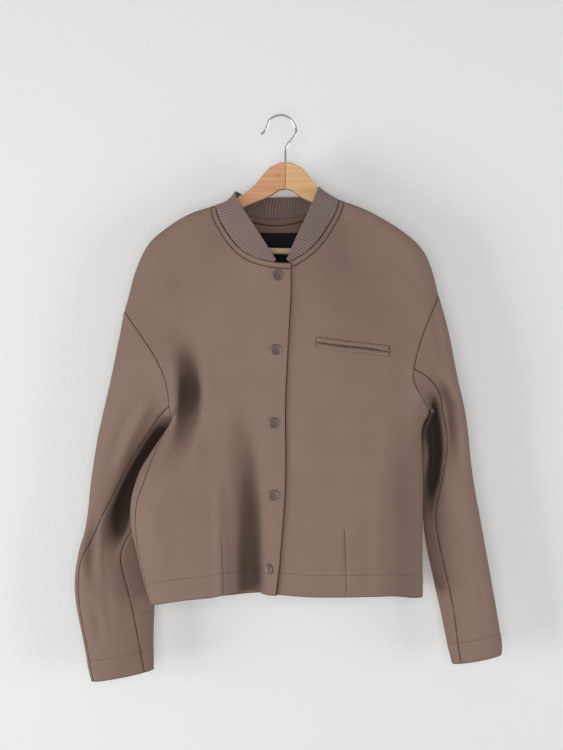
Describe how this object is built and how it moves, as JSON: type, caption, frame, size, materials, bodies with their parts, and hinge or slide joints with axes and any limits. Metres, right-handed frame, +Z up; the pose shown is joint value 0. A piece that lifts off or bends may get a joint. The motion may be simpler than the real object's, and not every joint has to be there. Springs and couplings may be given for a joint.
{
  "type": "sweat jacket on a hanger",
  "caption": "Cropped long-sleeved sweat jacket with a ribbed collar, snap front and welt pocket, hung on a wooden hanger with a wire hook.",
  "frame": {"origin": "seat of the hanger's hook, the inner top of the wire where a rod or nail bears, in the hanger's plane", "axes": "+X towards the wearer's left sleeve, +Y from the jacket's front to its back, +Z up"},
  "size_m": [0.6847, 0.1304, 0.9059],
  "materials": {
    "cloth": "smooth dull double knit",
    "rib": "ribbed knit",
    "snap_metal": "dull nickel",
    "label": "woven satin",
    "wood_warm": "satin clear varnish",
    "wood_pale": "satin clear varnish",
    "hook_wire": "bright plated wire"
  },
  "bodies": {
    "root": {"front_right": "cloth", "front_left": "cloth", "back": "cloth", "sleeve_right_upper": "cloth", "sleeve_right_under": "cloth", "sleeve_left_upper": "cloth", "sleeve_left_under": "cloth", "pocket_welt_upper": "cloth", "pocket_welt_lower": "cloth", "collar": "rib", "snap_1": "snap_metal", "snap_2": "snap_metal", "snap_3": "snap_metal", "snap_4": "snap_metal", "snap_5": "snap_metal", "neck_label": "label", "hanger_arm_right": "wood_warm", "hanger_arm_left": "wood_pale", "hanger_bar": "wood_pale", "hanger_hook": "hook_wire"}
  },
  "joints": []
}
